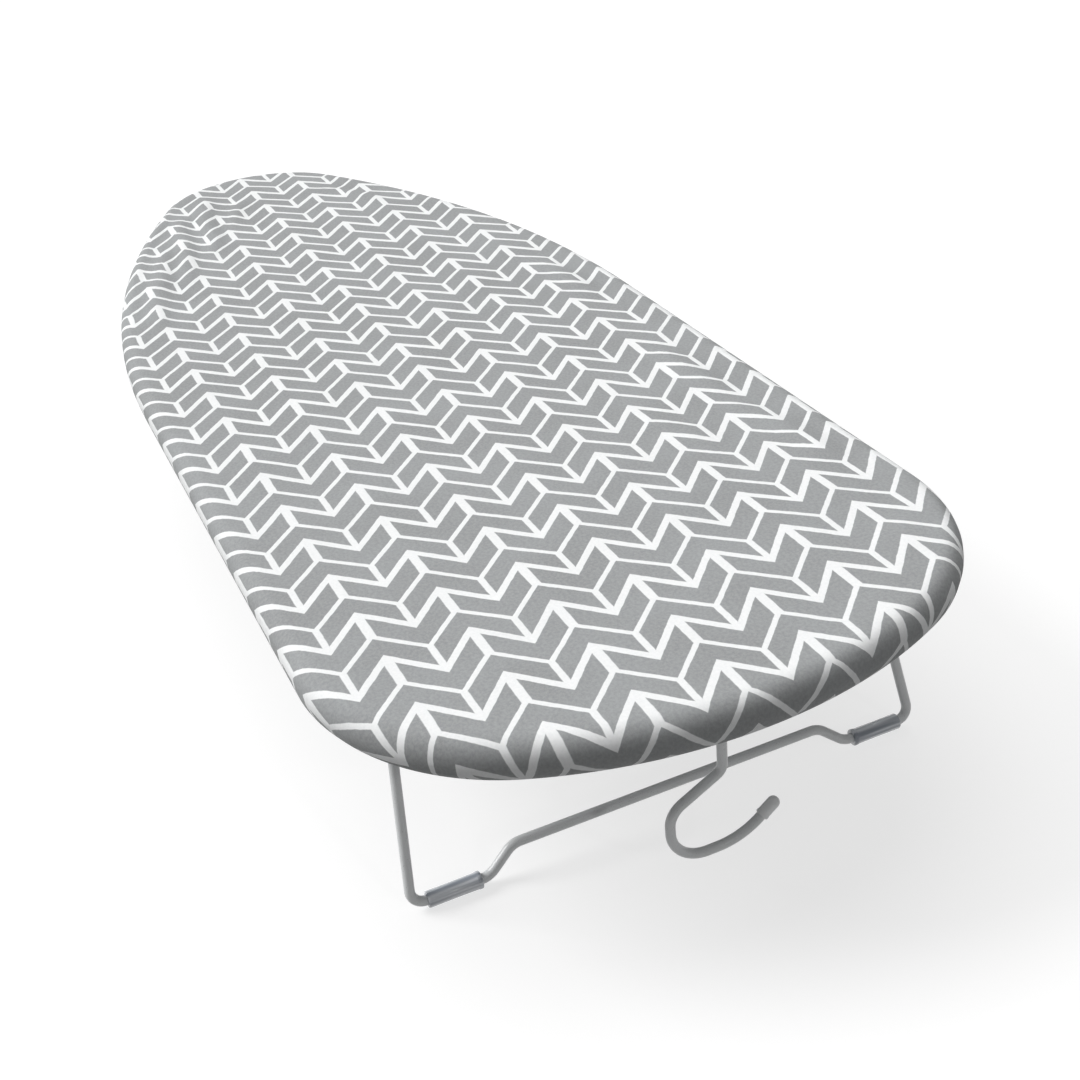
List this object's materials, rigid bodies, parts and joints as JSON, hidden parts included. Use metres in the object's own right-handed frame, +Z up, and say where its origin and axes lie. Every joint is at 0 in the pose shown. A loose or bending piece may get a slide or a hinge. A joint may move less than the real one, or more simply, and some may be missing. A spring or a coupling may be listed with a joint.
{
  "type": "table-top ironing board",
  "caption": "Low ironing board with a padded, elastic-hemmed cotton cover over a perforated steel deck, folding bent-wire legs with soft foot sleeves and a swinging hanging hook.",
  "frame": {"origin": "on the table, under the middle of the board", "axes": "+X towards the wide end, +Y across the board, +Z up out of the ironing surface"},
  "size_m": [0.8239, 0.32, 0.1235],
  "materials": {
    "printed_cotton": "matt printed plain-weave cotton",
    "hem_tape": "matt folded cotton tape",
    "elastic": "braided elastic",
    "foam": "open foam",
    "deck_steel": "satin powder coat",
    "zinc_steel": "dull zinc plate",
    "grey_wire": "satin silver-grey powder coat",
    "sleeve_vinyl": "glossy soft vinyl",
    "cap_vinyl": "satin dipped vinyl"
  },
  "bodies": {
    "board": {"cotton_cover": "printed_cotton", "foam_pad": "foam", "front_bracket_left": "zinc_steel", "front_bracket_right": "zinc_steel", "front_bracket_rivets": "zinc_steel", "front_crossmember": "deck_steel", "front_stop_pins": "zinc_steel", "hem_binding": "hem_tape", "hem_elastic": "elastic", "hook_bracket": "zinc_steel", "hook_bracket_rivets": "zinc_steel", "hook_crossmember": "deck_steel", "middle_crossmember": "deck_steel", "perforated_deck": "deck_steel", "rear_bracket_left": "zinc_steel", "rear_bracket_right": "zinc_steel", "rear_bracket_rivets": "zinc_steel", "rear_crossmember": "deck_steel", "rear_stop_pins": "zinc_steel", "rim_frame": "deck_steel"},
    "front_leg": {"front_foot_sleeve_left": "sleeve_vinyl", "front_foot_sleeve_right": "sleeve_vinyl", "front_leg_wire": "grey_wire"},
    "rear_leg": {"rear_foot_sleeve_left": "sleeve_vinyl", "rear_foot_sleeve_right": "sleeve_vinyl", "rear_leg_wire": "grey_wire"},
    "hook": {"hanging_hook": "grey_wire", "hook_tip_cap": "cap_vinyl", "hook_push_nut": "zinc_steel"}
  },
  "joints": [
    {"name": "front_leg_fold", "type": "hinge", "parent": "board", "child": "front_leg", "pos_m": [0.3014, 0, 0.0975], "axis": [0, 1, 0], "range_deg": [0, 105.6]},
    {"name": "rear_leg_fold", "type": "hinge", "parent": "board", "child": "rear_leg", "pos_m": [-0.208, 0, 0.0975], "axis": [0, -1, 0], "range_deg": [0, 105.6]},
    {"name": "hook_swing", "type": "hinge", "parent": "board", "child": "hook", "pos_m": [0.3765, 0, 0.0965], "axis": [0, -1, 0], "range_deg": [-90, 90]}
  ]
}
